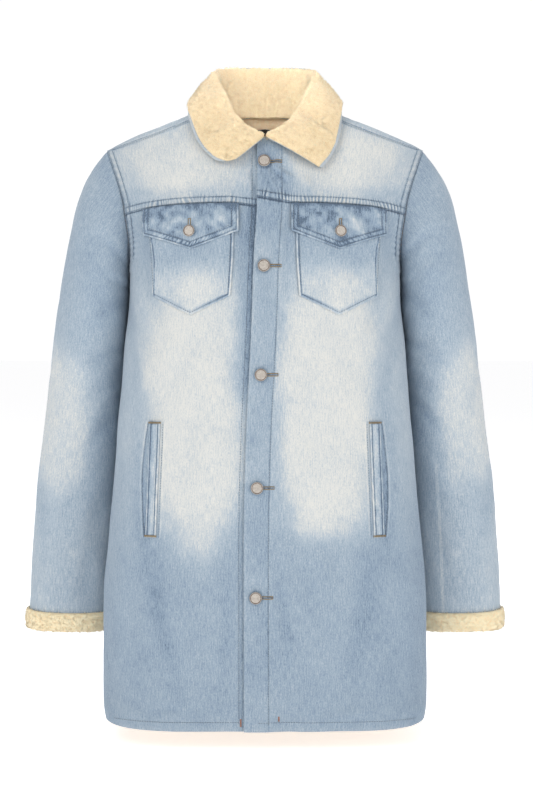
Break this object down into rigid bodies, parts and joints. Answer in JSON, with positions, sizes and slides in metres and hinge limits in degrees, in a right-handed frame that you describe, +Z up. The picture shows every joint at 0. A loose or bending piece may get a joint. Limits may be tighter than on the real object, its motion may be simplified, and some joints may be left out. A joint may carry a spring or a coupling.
{
  "type": "sherpa lined jacket",
  "caption": "Long light-blue denim jacket with a cream sherpa collar and turned-up sherpa cuffs, buttoned and filled out with no wearer",
  "frame": {"origin": "in the middle of the neck opening, level with the shoulders' neck points, where a wearer carries the jacket", "axes": "+Z up, +X to the wearer's left, the front faces -Y"},
  "size_m": [0.6938, 0.2567, 0.9197],
  "materials": {
    "denim": "stonewashed light blue cotton twill, faded nearly white over the fronts, yokes and elbows",
    "sherpa": "cream curled pile fleece",
    "tape": "plain black woven tape",
    "button_metal": "brushed nickel, darker at the rim"
  },
  "bodies": {
    "root": {"back_panel": "denim", "back_yoke": "denim", "front_left": "denim", "front_right": "denim", "front_yoke_left": "denim", "front_yoke_right": "denim", "sleeve_left": "denim", "sleeve_right": "denim", "cuff_left": "sherpa", "cuff_right": "sherpa", "collar_top": "sherpa", "collar_under": "denim", "neck_lining": "sherpa", "neck_tape": "tape", "chest_pocket_left": "denim", "chest_pocket_right": "denim", "pocket_flap_left": "denim", "pocket_flap_right": "denim", "pocket_welt_left": "denim", "pocket_welt_right": "denim", "button_front_1": "button_metal", "button_front_2": "button_metal", "button_front_3": "button_metal", "button_front_4": "button_metal", "button_front_5": "button_metal", "button_flap_left": "button_metal", "button_flap_right": "button_metal"}
  },
  "joints": []
}
